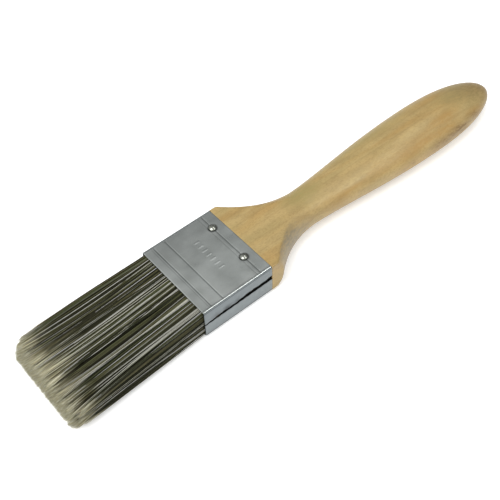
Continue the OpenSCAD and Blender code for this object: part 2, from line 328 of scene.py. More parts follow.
def ferrule_material():
    """Satin tinned sheet: faint rolling lines, clouds and small scratches, with painted shade in the
    pressed lines, round the pins, along the seam, inside, on the +Y side and fold, and over the seam
    side.
    """
    tree = material_tree("tinned_sheet")
    cloud = tree.noise((11, 8, 8), 3, 0.55)
    colour = tree.mix(tree.spread(cloud, 0.3, 0.7), (0.385, 0.407, 0.394), (0.445, 0.467, 0.454))
    rolling = tree.noise((9, 0.07, 0.07), 2, 0.5)
    colour = tree.overlay(colour, ROLLING_AND_SHADE_DARK, rolling, 0.45, 0.8, 0.16)
    spots = tree.noise((0.8, 0.8, 0.8), 2, 0.6, shift=(4, 4, 4))
    colour = tree.overlay(colour, SPOT_DARK, spots, 0.66, 0.78, 0.25)
    # Painted shade: the sheet grows darker towards its +Y side
    width = tree.axis(tree.place((1, 1, 1)), "Y")
    colour = tree.overlay(colour, ROLLING_AND_SHADE_DARK, width, 0, FERRULE_W / 2, 0.5)
    # Painted shade in the pressed lines, round the pins, along the seam and inside the sheet
    colour = tree.mix(tree.attribute("groove"), colour, SHEET_SHADE_DARK)
    scratches = tree.noise((7, 0.12, 0.12), 1, 0.3, turn=(0, 0, 0.6), shift=(2, 9, 1))
    rough = tree.spread(cloud, 0.25, 0.75, 0.34, 0.44)
    rough = tree.maths("ADD", rough, tree.spread(scratches, 0.62, 0.75, 0, -0.08))
    rough = tree.maths("SUBTRACT", rough, tree.maths("MULTIPLY", tree.attribute("worn"), 0.1))
    # Painted shade: the seam side of the sheet is darker and bluer
    colour = tree.mix(tree.attribute("flap"), colour, FLAP_SHADE_TINT, "MULTIPLY")
    # Painted shade on the +Y fold, in place of its bright reflection
    colour = tree.mix(tree.attribute("tarnish"), colour, FOLD_SHADE_TINT, "MULTIPLY")
    tree.shine(Base_Color=colour, Metallic=1.0, Roughness=rough)
    normal = tree.bump(cloud, 0.25, 0.35)
    normal = tree.bump(rolling, 0.012, 0.35, normal)
    tree.shine(Normal=tree.bump(scratches, 0.015, 0.35, normal))
    return tree.owner


def pin_material():
    """Polished steel with fine tumbling marks."""
    tree = material_tree("pin_polish")
    marks = tree.noise((0.25, 0.25, 0.25), 3, 0.6)
    colour = tree.mix(tree.spread(marks, 0.3, 0.75), (0.34, 0.35, 0.31), (0.22, 0.23, 0.20))
    tree.shine(Base_Color=colour, Metallic=1.0, Roughness=tree.spread(marks, 0.3, 0.7, 0.10, 0.18))
    tree.shine(Normal=tree.bump(marks, 0.02, 0.3))
    return tree.owner


def resin_material():
    """Cured amber resin with small trapped bubbles, painted dark with shade along its narrow sides."""
    tree = material_tree("amber_resin")
    cloud = tree.noise((4, 4, 4), 3, 0.6)
    colour = tree.mix(tree.spread(cloud, 0.3, 0.7), (0.34, 0.20, 0.06), (0.50, 0.33, 0.12))
    bubbles = tree.noise((0.5, 0.5, 0.5), 1, 0.4)
    width = tree.maths("ABSOLUTE", tree.axis(tree.place((1, 1, 1)), "Y"))
    # Painted shade on the narrow sides, which show through the seam
    side = tree.spread(width, RESIN_HIGH[1] - 0.3, RESIN_HIGH[1] - 0.1)
    colour = tree.mix(side, colour, INSIDE_SHADE)
    tree.shine(Base_Color=colour, Roughness=tree.spread(cloud, 0.3, 0.7, 0.2, 0.34))
    tree.shine(Specular_IOR_Level=tree.maths("SUBTRACT", 0.5, tree.maths("MULTIPLY", side, 0.5)))
    tree.shine(Normal=tree.bump(bubbles, 0.08, 0.5))
    return tree.owner


def filament_material(name, shade):
    """Drawn filament. Each strand carries its own tone, tint and paleness towards the tip."""
    tree = material_tree(name)
    tone = tree.attribute("tone")
    tint = tree.attribute("tint")
    pale = tree.attribute("pale")
    dark = tree.mix(tint, (0.012, 0.015, 0.006), (0.018, 0.014, 0.006))
    middle = tree.mix(tint, (0.082, 0.095, 0.042), (0.102, 0.088, 0.044))
    light = tree.mix(tint, (0.52, 0.52, 0.54), (0.44, 0.43, 0.33))
    colour = tree.mix(tree.spread(tone, 0.0, 0.5), dark, middle)
    colour = tree.mix(tree.spread(tone, 0.5, 1.0), colour, light)
    cream = tree.mix(tint, (0.90, 0.88, 0.66), (0.50, 0.42, 0.21))
    colour = tree.mix(pale, colour, cream)
    grain = tree.noise((1.6, 0.2, 0.2), 2, 0.5)
    colour = tree.overlay(colour, shade, grain, 0.35, 0.75, 0.3)
    rough = tree.spread(grain, 0.3, 0.7, 0.34, 0.5)
    tree.shine(Base_Color=colour, Roughness=rough, IOR=1.5, Specular_IOR_Level=0.12)
    tree.shine(Normal=tree.bump(grain, 0.02, 0.3))
    return tree.owner


# --- handle

# The shoulder's section at the ferrule before its four sides are cut flat
SHOULDER_RAW_W = 51.5
SHOULDER_RAW_T = 22.8
SHOULDER_CURVE = 2.2
SHOULDER_THIN_CURVE = 1.1
SHOULDER_ROUND = 2.9
FLAT_W = FERRULE_W / 2
FLAT_T = FERRULE_T / 2 - 0.15
NO_FLAT = 100
NECK_X = 32.8
NECK_W = 17.3
NECK_T = 13.3
GRIP_X = 103.5
GRIP_W = 27.0
GRIP_T = 15.6
GRIP_ROUND = 2.2
GRIP_SWELL_CURVE = 0.78
END_CURVE = 2.3
TENON_GAP = 0.55
TENON_SOFT = 0.1
CREASE_SOFT = 0.55
CORNER_SPARE = 0.03
CREASE_BAND = (0.08, 0.65)
# Least parts of the half width and half thickness that count as flat face and flat side
LEAST_FACE = 0.35
LEAST_SIDE = 0.3
HALVINGS = 34
# Distance to the rounded outline as a share of the distance along a ray
RAY_SLANT = 0.9
# Steps along a quarter of a ring: narrow side, corner and broad face
RING_STEPS = (10, 26, 16)
# Patches of colour on the wood, some real, some painted highlight and some painted shade: middle from
# the ferrule, reach along each axis, and strength
WOOD_MARKS = {
    # Olive patches on the grip; the patches at the neck and at the end are painted shade
    "green": (
        ((78, 7.0, 5), (42, 6.0, 7), 0.55),
        ((34, 2.0, 6), (15, 9.0, 8), 0.85),
        ((132, 1.0, 3), (28, 15.0, 12), 0.95),
    ),
    # Painted highlight: a paler band along the middle of the grip
    "cream": (
        ((36, -5.8, 5.5), (20, 2.6, 5), 0.28),
        ((56, -6.5, 6.0), (24, 3.0, 5), 0.34),
        ((76, -6.4, 6.5), (22, 3.4, 5), 0.34),
        ((92, -3.6, 7.0), (22, 3.2, 5), 0.28),
    ),
    "warm": (
        ((112, -6.5, 7), (14, 4.0, 7), 0.60),
        ((94, -10.0, 5), (22, 2.4, 6), 0.60),
        ((108, -10.5, 4), (16, 2.6, 6), 0.70),
        ((128, -10.0, 2), (12, 3.0, 7), 0.60),
        ((118, 6.0, 6), (16, 3.0, 6), 0.40),
        ((52, -8.6, 2), (20, 2.0, 6), 0.45),
    ),
    # Painted shade on the concave sides of the shoulder and over the handle end
    "painted_shade": (
        ((17, -12.0, 0), (22, 9.0, 18), 1.00),
        ((9, -15.5, 0), (12, 6.0, 18), 0.85),
        ((18, 12.0, 0), (20, 6.0, 15), 0.50),
        ((138, 3.0, 2), (34, 14.0, 12), 0.35),
    ),
    # Brown stains along the lower edge of the grip and a small dark spot; the broad last patch is
    # painted shade over the handle end
    "stain_and_shade": (
        ((106, -12.8, 1.5), (14, 1.9, 5), 0.70),
        ((115, -12.4, 1.5), (15, 2.2, 5), 0.90),
        ((126, -10.6, 1.5), (14, 2.2, 5), 0.65),
        ((86.5, -13.2, 1.0), (2.0, 1.0, 2), 0.45),
        ((143, 0.0, 2.0), (36, 16.0, 14), 0.52),
    ),
}


def handle_section(u):
    """Half width, half thickness, exponent and flat limits of the section at u from the ferrule."""
    left = 1 - share_between(u, 0, NECK_X)
    grip = share_between(u, NECK_X, GRIP_X) ** GRIP_SWELL_CURVE
    grip = (1 - math.cos(math.pi * grip)) / 2
    end = math.sqrt(1 - share_between(u, GRIP_X, HANDLE_LEN) ** END_CURVE)
    curve = GRIP_ROUND + (SHOULDER_ROUND - GRIP_ROUND) * left
    if u < NECK_X:
        width = NECK_W + (SHOULDER_RAW_W - NECK_W) * left**SHOULDER_CURVE
        thick = NECK_T + (SHOULDER_RAW_T - NECK_T) * left**SHOULDER_THIN_CURVE
        return width / 2, thick / 2, curve, FLAT_W, FLAT_T
    width = (NECK_W + (GRIP_W - NECK_W) * grip) * end
    thick = (NECK_T + (GRIP_T - NECK_T) * grip) * end
    return width / 2, thick / 2, curve, NO_FLAT, NO_FLAT


def across_at(half, other_half, other, curve):
    """Half of one axis of the rounded section, at a distance along the other axis."""
    return half * max(0, 1 - min(1, other / other_half) ** curve) ** (1 / curve)


def edge_angles(width, thick, curve, flat_w, flat_t):
    """Directions in which the flat narrow side and the flat broad face end."""
    face_y = max(min(flat_w, across_at(width, thick, flat_t, curve)), LEAST_FACE * width)
    face = math.atan2(min(flat_t, across_at(thick, width, face_y, curve)), face_y)
    side_z = max(min(flat_t, across_at(thick, width, flat_w, curve)), LEAST_SIDE * thick)
    side = math.atan2(side_z, min(flat_w, across_at(width, thick, side_z, curve)))
    corner = math.atan2(FLAT_T, FLAT_W)
    return min(side, corner - CORNER_SPARE), max(face, corner + CORNER_SPARE)


def section_ring(width, thick, curve, flat_w, flat_t, soft):
    """Points of one ring, found on rays from the axis by halving the distance to the outline."""
    low, high = edge_angles(width, thick, curve, flat_w, flat_t)
    side_steps, corner_steps, face_steps = RING_STEPS
    angles = np.concatenate([
        low * np.arange(side_steps) / side_steps,
        low + (high - low) * np.arange(corner_steps) / corner_steps,
        high + (math.pi / 2 - high) * np.arange(face_steps + 1) / face_steps,
    ])
    c, s = np.cos(angles), np.sin(angles)
    low = np.zeros_like(angles)
    high = np.full_like(angles, width + thick)
    for _ in range(HALVINGS):
        r = (low + high) / 2
        y, z = r * c, r * s
        level = ((y / width) ** curve + (z / thick) ** curve) ** (1 / curve)
        outline_r = r / np.maximum(level, 1e-9)
        rounded = (1 - level) * outline_r * RAY_SLANT
        inside = smooth_min(smooth_min(rounded, flat_w - y, soft), flat_t - z, soft) > 0
        low = np.where(inside, r, low)
        high = np.where(inside, high, r)
    quarter = np.stack([low * c, low * s], -1)
    second = quarter[-2::-1] * (-1, 1)
    third = quarter[1:] * (-1, -1)
    fourth = quarter[-2:0:-1] * (1, -1)
    return np.concatenate([quarter, second, third, fourth])


def spot_mask(points, spots):
    """Strength of the soft patches of another colour at points of the handle."""
    mask = np.zeros(len(points))
    for centre, reach, strength in spots:
        place = np.array([COLLAR_X, 0, MID_Z]) + centre
        distance = np.linalg.norm((points - place) / reach, axis=1)
        mask = np.maximum(mask, strength * (1 - smooth_step(distance, 0.1, 1.0)))
    return mask


def side_shade_share(points):
    """Share of the painted shade at each point: none on the flat broad faces of the shoulder."""
    below_flat = FLAT_T - np.abs(points[:, 2] - MID_Z)
    on_shoulder = points[:, 0] < COLLAR_X + NECK_X
    return np.where(on_shoulder, smooth_step(below_flat, *CREASE_BAND), 1)


def make_handle():
    """Lacquered handle: tenon, concave shoulder, neck, grip and rounded end."""
    last_gap = 0.02
    shoulder = np.linspace(0, NECK_X, 100)[:-1]
    grip = np.linspace(NECK_X, GRIP_X, 70)[:-1]
    turn = np.linspace(0, 1, 56) * math.pi / 2
    end = GRIP_X + (HANDLE_LEN - last_gap - GRIP_X) * np.sin(turn)
    stations = np.concatenate([shoulder, grip, end])
    rings = []
    tenon_w = FERRULE_W / 2 - TENON_GAP
    tenon_t = FERRULE_T / 2 - TENON_GAP
    tenon = section_ring(tenon_w * 2, tenon_t * 2, 2, tenon_w, tenon_t, TENON_SOFT)
    tenon_x = [HANDLE_LOW[0], (HANDLE_LOW[0] + COLLAR_X) / 2, COLLAR_X]
    for x in tenon_x:
        rings.append(np.column_stack([np.full(len(tenon), x), tenon]))
    for u in stations:
        ring = section_ring(*handle_section(u), CREASE_SOFT)
        rings.append(np.column_stack([np.full(len(ring), COLLAR_X + u), ring]))
    rings = np.array(rings)
    around = rings.shape[1]
    points = rings.reshape(-1, 3) + (0, 0, MID_Z)
    centres = np.array([[HANDLE_LOW[0], 0, MID_Z], [END_X, 0, MID_Z]])
    start_cap = cap_faces(0, around, len(points))
    end_cap = cap_faces(len(points) - around, around, len(points) + 1, turned=True)
    faces = [tube_faces(len(rings), around), start_cap, end_cap]
    points = np.concatenate([points, centres])
    mesh = mesh_from_arrays("handle_lacquered", points, faces)
    # The tenon's rings and the centre of its end lie inside the ferrule, and are painted dark as the
    # shade there
    hidden = np.zeros(len(points))
    hidden[: len(tenon_x) * around] = 1
    hidden[-2] = 1
    marks = {mark: spot_mask(points, spots) for mark, spots in WOOD_MARKS.items()}
    # Painted shade lies on the sides of the shoulder, not on its flat faces
    marks["painted_shade"] *= side_shade_share(points)
    set_attributes(mesh, hidden=hidden, **marks)
    material = wood_material(
        "lacquered_wood",
        pale=(0.400, 0.288, 0.118),
        amber=(0.375, 0.245, 0.085),
        olive=(0.325, 0.245, 0.092),
        dark=(0.200, 0.125, 0.042),
        lacquer=0.2,
    )
    return new_object(mesh, material)


# --- ferrule

SHEET_T = 0.5
BEND_R = 0.85
LINE_DEPTH = 0.10
EDGE_ROLL = 0.12
EDGE_ROLL_LEN = 0.15
FACE_CROWN = 0.10
PIN_DENT = 0.10
BOLD_LINES = (4.5, 10.0, FERRULE_LEN - 4.9)
FAINT_LINES = (3.6, FERRULE_LEN - 6.55)
# Pressed lines: place from the mouth, width, share of the full depth, and painted shade in the line
BOLD_STYLE = (0.30, 1.0, 0.42)
FAINT_STYLE = (0.20, 0.4, 0.20)
PRESSED_LINES = [(out, *BOLD_STYLE) for out in BOLD_LINES] + [(out, *FAINT_STYLE) for out in FAINT_LINES]
# Painted shade round the pin heads, in their dents
PIN_RING_SHADE = 0.85
SEAM_THIN = 0.8
SEAM_WIDE = 2.2
SEAM_RISE = 1.1
# Wave of the upper edge: height, degrees from end to end, and degrees at the mouth
SEAM_WAVE = 0.22
SEAM_WAVE_TURN = 840
SEAM_WAVE_START = -95
# How far the lower and the upper edge bulge outwards
LOW_RIPPLE = 0.05
HIGH_RIPPLE = 0.07
# Painted shade along the open edge and a painted dark reflection under the fold, placed as shares of the
# flap
OPEN_EDGE_SHADE_END = 0.05
UNDER_FOLD_SHADE = 0.85
UNDER_FOLD_SHADE_START = 0.93
UNDER_FOLD_SHADE_FULL = 0.985
# Darker patches on the upper flap next to the seam: place and reach along the seam as shares of its
# length, and strength
FLAP_DARK_PATCHES = ((0.16, 0.05, 0.35), (0.33, 0.06, 0.7), (0.47, 0.04, 0.5))
TICK_COUNT = 7
TICK_PITCH = 2.6
TICK_W = 0.7
TICK_LEN = 2.6
TICK_H = 0.05
TICK_SLOPE = 0.4
TICK_OUT = 19
PIN_SHIFT = 1.4
PIN_SPACING = 19.6
PIN_OUT = BOLD_LINES[2]
PIN_Y = (PIN_SHIFT - PIN_SPACING / 2, PIN_SHIFT + PIN_SPACING / 2)
PIN_HEAD_R = 1.65
TICK_Y = [(i - (TICK_COUNT - 1) / 2) * TICK_PITCH + PIN_SHIFT for i in range(TICK_COUNT)]


def seam_heights(share):
    """Heights of the lower and the upper sheet edge, at a share of the way along the seam."""
    middle = MID_Z + SEAM_RISE * share
    half = (SEAM_THIN + (SEAM_WIDE - SEAM_THIN) * share) / 2
    wave = SEAM_WAVE * np.sin(np.radians(SEAM_WAVE_TURN * share + SEAM_WAVE_START))
    return middle - half, middle + half + wave


def close_steps(centres, reach, count):
    """Stations packed round each centre, to draw a fine feature there."""
    return [c + reach * k / count for c in centres for k in range(-count, count + 1)]


def spaced(values, low, high, least):
    """Sorted stations inside low...high, with those closer than least dropped."""
    kept = [low]
    for v in sorted(values):
        if v - kept[-1] >= least and high - v >= least:
            kept.append(v)
    return np.array(kept + [high])


def face_relief(out, across, front):
    """Height of the ticks, less the depth of the pressed lines and of the dents round the pins."""
    relief = np.zeros(np.broadcast(out, across).shape)
    fade = smooth_step(FERRULE_W / 2 - BEND_R + 0.2 - np.abs(across), 0, 0.9)
    for line, width, share, _ in PRESSED_LINES:
        relief -= share * LINE_DEPTH * bell(out - line, width) * fade
    crown = FACE_CROWN * np.cos(np.pi * np.clip(across / FERRULE_W, -0.5, 0.5))
    relief -= FACE_CROWN - crown
    for y in PIN_Y:
        distance = np.hypot(out - PIN_OUT, across - y)
        relief -= PIN_DENT * bell(distance - PIN_HEAD_R, 0.45)
    if front:
        for y in TICK_Y:
            over = smooth_step(TICK_W / 2 + TICK_SLOPE / 2 - np.abs(across - y), 0, TICK_SLOPE)
            along = smooth_step(TICK_LEN / 2 + TICK_SLOPE / 2 - np.abs(out - TICK_OUT), 0, TICK_SLOPE)
            relief += TICK_H * over * along
    return relief


def groove_mask(out, across):
    """Share of painted shade in the pressed lines and round the pin heads."""
    mask = np.zeros(np.broadcast(out, across).shape)
    for line, width, _, darkness in PRESSED_LINES:
        mask = np.maximum(mask, darkness * bell(out - line, width))
    for y in PIN_Y:
        distance = np.hypot(out - PIN_OUT, across - y)
        mask = np.maximum(mask, PIN_RING_SHADE * bell(distance - PIN_HEAD_R - 0.1, 0.38))
    return mask


def seam_shade(flap):
    """Painted shade along the open edge, at 0, and a thin line of painted dark reflection under the
    fold, at 1.
    """
    open_edge = 1 - smooth_step(flap, 0, OPEN_EDGE_SHADE_END)
    under_fold = UNDER_FOLD_SHADE * smooth_step(flap, UNDER_FOLD_SHADE_START, UNDER_FOLD_SHADE_FULL)
    return np.maximum(open_edge, under_fold)


def ferrule_profile(out, inset):
    """Points and painted shade along a line round the sheet, set in from its outer skin."""
    half_w, half_t = FERRULE_W / 2, FERRULE_T / 2
    r = BEND_R
    seam_low, seam_high = seam_heights(out / FERRULE_LEN)
    tick_edges = [y + side * TICK_W / 2 for y in TICK_Y for side in (-1, 1)]
    wide = list(np.linspace(-half_w + r, half_w - r, 64)) + close_steps(PIN_Y, 2.6, 8)
    front_y = spaced(wide + close_steps(tick_edges, TICK_SLOPE / 2, 2), -half_w + r, half_w - r, 0.09)
    back_y = spaced(wide, -half_w + r, half_w - r, 0.2)
    bend = np.linspace(0, math.pi / 2, 9)[1:-1]
    flap = np.concatenate([[0, 0.03, 0.06], np.linspace(0.1, 0.9, 18), [0.94, 0.97, 1]])
    points, normals, masks = [], [], []

    def add(y, z, ny, nz, mask):
        n = max(np.size(v) for v in (y, z, ny, nz, mask))
        points.append(np.stack([np.broadcast_to(v, n) for v in (y, z)], -1))
        normals.append(np.stack([np.broadcast_to(v, n) for v in (ny, nz)], -1))
        masks.append(np.broadcast_to(mask, n))

    def add_bend(sy, sz, start):
        c, s = np.cos(start + bend), np.sin(start + bend)
        add(sy * (half_w - r) + r * c, sz * (half_t - r) + r * s, c, s, 0.0)

    low_z = (seam_low - MID_Z) + (-half_t + r - (seam_low - MID_Z)) * flap
    ripple = LOW_RIPPLE * np.sin(2.1 * out) * (1 - flap)
    add(-half_w - ripple, low_z, -1.0, 0.0, seam_shade(flap))
    add_bend(-1, -1, math.pi)
    add(back_y, -half_t - face_relief(out, back_y, False), 0.0, -1.0, groove_mask(out, back_y))
    add_bend(1, -1, 1.5 * math.pi)
    add(half_w, np.linspace(-half_t + r, half_t - r, 30), 1.0, 0.0, 0.0)
    add_bend(1, 1, 0.0)
    top_y = front_y[::-1]
    add(top_y, half_t + face_relief(out, top_y, True), 0.0, 1.0, groove_mask(out, top_y))
    add_bend(-1, 1, 0.5 * math.pi)
    high_z = half_t - r + (seam_high - MID_Z - half_t + r) * flap
    ripple = HIGH_RIPPLE * np.sin(1.7 * out + 1) * flap
    # Darker patches on the upper flap next to the seam
    flap_patch = sum(darkness * bell(out / FERRULE_LEN - at, reach) for at, reach, darkness in FLAP_DARK_PATCHES)
    flap_patch = min(1, flap_patch) * smooth_step(flap, 0.45, 0.95)
    add(-half_w - ripple, high_z, -1.0, 0.0, np.maximum(flap_patch, seam_shade(1 - flap)))
    points = np.concatenate(points) - np.concatenate(normals) * inset
    return points, np.concatenate(masks)


def make_ferrule():
    """Folded sheet with an open seam, pressed lines, ticks and a soft edge at both ends."""
    lines = close_steps(BOLD_LINES, 0.6, 5) + close_steps(FAINT_LINES, 0.4, 4)
    tick_ends = (TICK_OUT - TICK_LEN / 2, TICK_OUT + TICK_LEN / 2)
    stations = list(np.linspace(0, FERRULE_LEN, 60)) + lines + close_steps(tick_ends, TICK_SLOPE / 2, 2)
    stations += list(np.linspace(PIN_OUT - 2.4, PIN_OUT + 2.4, 17))
    near_end = (0.4 * EDGE_ROLL_LEN, EDGE_ROLL_LEN)
    stations += [*near_end, *(FERRULE_LEN - out for out in near_end)]
    outs = spaced(stations, 0, FERRULE_LEN, 0.05)
    outer, inner, masks = [], [], []
    for out in outs:
        edge = min(out, FERRULE_LEN - out)
        roll = EDGE_ROLL * max(0, 1 - edge / EDGE_ROLL_LEN) ** 2
        skin, mask = ferrule_profile(out, roll)
        x = np.full(len(skin), MOUTH_X + out)
        outer.append(np.column_stack([x, skin]))
        masks.append(mask)
        skin, _ = ferrule_profile(out, SHEET_T - roll)
        inner.append(np.column_stack([x, skin]))
    outer, inner, masks = np.array(outer), np.array(inner), np.array(masks)
    rows, cols = outer.shape[:2]
    size = rows * cols
    k, j = np.meshgrid(np.arange(rows - 1), np.arange(cols - 1), indexing="ij")
    a = (k * cols + j).ravel()
    quads = np.stack([a, a + 1, a + cols + 1, a + cols], -1)
    j = np.arange(cols - 1)
    k = np.arange(rows - 1) * cols
    last_row = (rows - 1) * cols
    mouth = np.stack([j, j + size, j + size + 1, j + 1], -1)
    collar = np.stack([last_row + j, last_row + j + 1, last_row + j + 1 + size, last_row + j + size], -1)
    low_lip = np.stack([k, k + cols, k + cols + size, k + size], -1)
    high = k + cols - 1
    high_lip = np.stack([high, high + size, high + cols + size, high + cols], -1)
    # Painted shade on the seam side, less on the lower flap
    on_seam_side = outer[:, :, 1] < 0.3 - FERRULE_W / 2
    flap_shade = np.where(outer[:, :, 2] > SEAM_RISE, 1.0, LOWER_FLAP_SHADE) * on_seam_side
    near_front = outer[:, :, 2] > FERRULE_T / 2 - BEND_R - 0.2
    # Painted shade on the +Y fold
    on_fold = near_front & (outer[:, :, 1] > FERRULE_W / 2 - 0.9)
    on_rim = near_front & (outer[:, :, 1] < BEND_R + 0.2 - FERRULE_W / 2)
    faces = [quads[:, ::-1], quads + size]
    faces += [block[:, ::-1] for block in (mouth, collar, low_lip, high_lip)]
    points = np.concatenate([outer.reshape(-1, 3), inner.reshape(-1, 3)]) + (0, 0, MID_Z)
    mesh = mesh_from_arrays("ferrule_sheet", points, faces)
    # The inner skin is painted fully dark, as the shade inside the sheet
    groove = np.concatenate([masks.ravel(), np.ones(size)])
    flap, tarnish, worn = (np.tile(part.ravel(), 2) for part in (flap_shade, on_fold, on_rim))
    set_attributes(mesh, groove=groove, flap=flap, tarnish=tarnish, worn=worn)
    return new_object(mesh, ferrule_material())


# --- pins

PIN_RIM_H = 0.15
PIN_SHANK_R = 0.7
PIN_LEN = 5.8
PIN_POINT_LEN = 1.4
DOME_STEPS = 12


def make_pins():
    """Four domed pins, each one turned profile from the crown of its head to its point."""
    dome_h = PIN_HEAD_H - PIN_RIM_H
    dome_r = (PIN_HEAD_R**2 + dome_h**2) / (2 * dome_h)
    reach = math.asin(PIN_HEAD_R / dome_r)
    profile = []
    for i in range(DOME_STEPS):
        a = reach * (i + 1) / DOME_STEPS
        profile.append((dome_r * math.sin(a), PIN_HEAD_H - dome_r + dome_r * math.cos(a)))
    profile += [(PIN_HEAD_R + 0.03, 0.09), (PIN_HEAD_R, 0.02), (PIN_HEAD_R - 0.1, -0.02)]
    profile += [(PIN_SHANK_R + 0.1, -0.03), (PIN_SHANK_R, -0.15)]
    profile += [(PIN_SHANK_R, -PIN_LEN + PIN_POINT_LEN), (0.1, -PIN_LEN)]
    around = 40
    turn = 2 * math.pi * np.arange(around) / around
    rings = np.array([[(r * math.cos(t), r * math.sin(t), h) for t in turn] for r, h in profile])
    skin = rings.reshape(-1, 3)
    shape = np.concatenate([skin, [[0, 0, PIN_HEAD_H], [0, 0, -PIN_LEN - 0.02]]])
    tube = tube_faces(len(profile), around)
    top = cap_faces(0, around, len(skin))
    bottom = cap_faces(len(skin) - around, around, len(skin) + 1, turned=True)
    points, quads, tris = [], [], []
    for side in (1, -1):
        for y in PIN_Y:
            place = np.array([MOUTH_X + PIN_OUT, y, MID_Z + side * FERRULE_T / 2])
            first = len(points) * len(shape)
            points.append(shape * (1, side, side) + place)
            quads.append(tube + first)
            tris.append(np.concatenate([top, bottom]) + first)
    faces = [np.concatenate(quads), np.concatenate(tris)]
    return new_object(mesh_from_arrays("pins_polished", np.concatenate(points), faces), pin_material())


# --- filament

ROOT_W = 37.7
TIP_W = 41.0
PACK_T = 13.7
TIP_T = 10.1
TIP_LEAN = -1.6
LEAN_CURVE = 0.75
TIP_OVER = 0.5
# Length along the strands and width across them of each rounded tip corner
PLUS_CORNER = (7.0, 4.6)
MINUS_CORNER = (4.0, 1.2)
EDGE_PUSH = 0.5
TIP_CHISEL = 2.0
BUTT_HALF_W = 18.35
SPACER_OUT = 2.0
MIDDLE_HALF = 1.5
SPACER_TOP = 3.1
LAYER_SPLIT = 2.0
BUTT_TOP = 6.35
BUTT_DEPTH = 2.9
BUTT_X = RESIN_LOW[0] + BUTT_DEPTH
STRAND_D = 0.33
STRAND_GAP = 0.35
CLUMP_SIZE = 0.40
LOCK_SIZE = 2.4
STRAND_SIDES = 5
UV_COLUMNS = 120
PALE_LEN = 12
PALE_END = 0.8
PALE_END_LEN = 6.0
# Painted shade of dark openings between the tufts: place across, length from the tips, both reaches and
# strength
TIP_GAPS = (
    (-18.8, 8.0, 2.2, 5.0, 0.8),
    (-15.5, 12.0, 1.5, 5.0, 0.6),
    (7.0, 9.0, 2.6, 5.0, 0.45),
    (13.0, 8.0, 1.6, 4.5, 0.3),
    (-9.0, 10.5, 1.2, 4.0, 0.5),
)
# Random shifts across and up, of locks, clumps and single strands: at the tips and midway
TIP_WANDER = ((0.45, 0.15), (0.32, 0.16), (0.14, 0.10))
BEND_WANDER = ((0.5, 0.14), (0.34, 0.14), (0.11, 0.06))
STRAY_COUNT = 12
STRAY_SHORT = 3.5
LAYERS = {
    "front": (LAYER_SPLIT, PACK_T / 2),
    "middle": (-LAYER_SPLIT, LAYER_SPLIT),
    "back": (-PACK_T / 2, -LAYER_SPLIT),
}


def jittered_grid(rng, low, high, step):
    """Points spread over y and z in offset rows, each moved a little at random."""
    rows = max(1, int(round((high[1] - low[1]) / step)))
    found = []
    for row in range(rows):
        z = low[1] + (row + 0.5) * (high[1] - low[1]) / rows
        count = int((high[0] - low[0]) / step)
        y = low[0] + (np.arange(count) + 0.25 + 0.5 * (row % 2)) * (high[0] - low[0]) / count
        found.append(np.column_stack([y, np.full(count, z)]))
    points = np.concatenate(found)
    return points + rng.uniform(-0.42, 0.42, points.shape) * step


def nearest(points, centres):
    """Index of the nearest centre for each point, with height counted less than width."""
    gaps = (points[:, None, :] - centres[None, :, :]) * (1.0, 0.55)
    return np.argmin((gaps**2).sum(-1), axis=1)


def tip_reach(y, z):
    """How far short of the longest tips a strand ends, from the corners and the chisel."""
    short = TIP_CHISEL * np.clip(np.abs(z) / (TIP_T / 2), 0, 1) ** 2
    for side, (length, width) in ((1, PLUS_CORNER), (-1, MINUS_CORNER)):
        over = np.clip((side * y - (TIP_W / 2 - width)) / width, 0, 0.99)
        short += length * (1 - np.sqrt(1 - over**2))
    return short


def scattered(rng, low, high, size):
    """Random centres over y and z, about one for each square of the given size."""
    area = (high[0] - low[0]) * (high[1] - low[1])
    return rng.uniform(low, high, (max(3, int(area / size**2)), 2))


def wander(rng, groups, sizes):
    """Random shifts, one for each member of each group, added up for each strand."""
    return sum(rng.normal(0, size, (count, 2))[member] for (member, count), size in zip(groups, sizes))


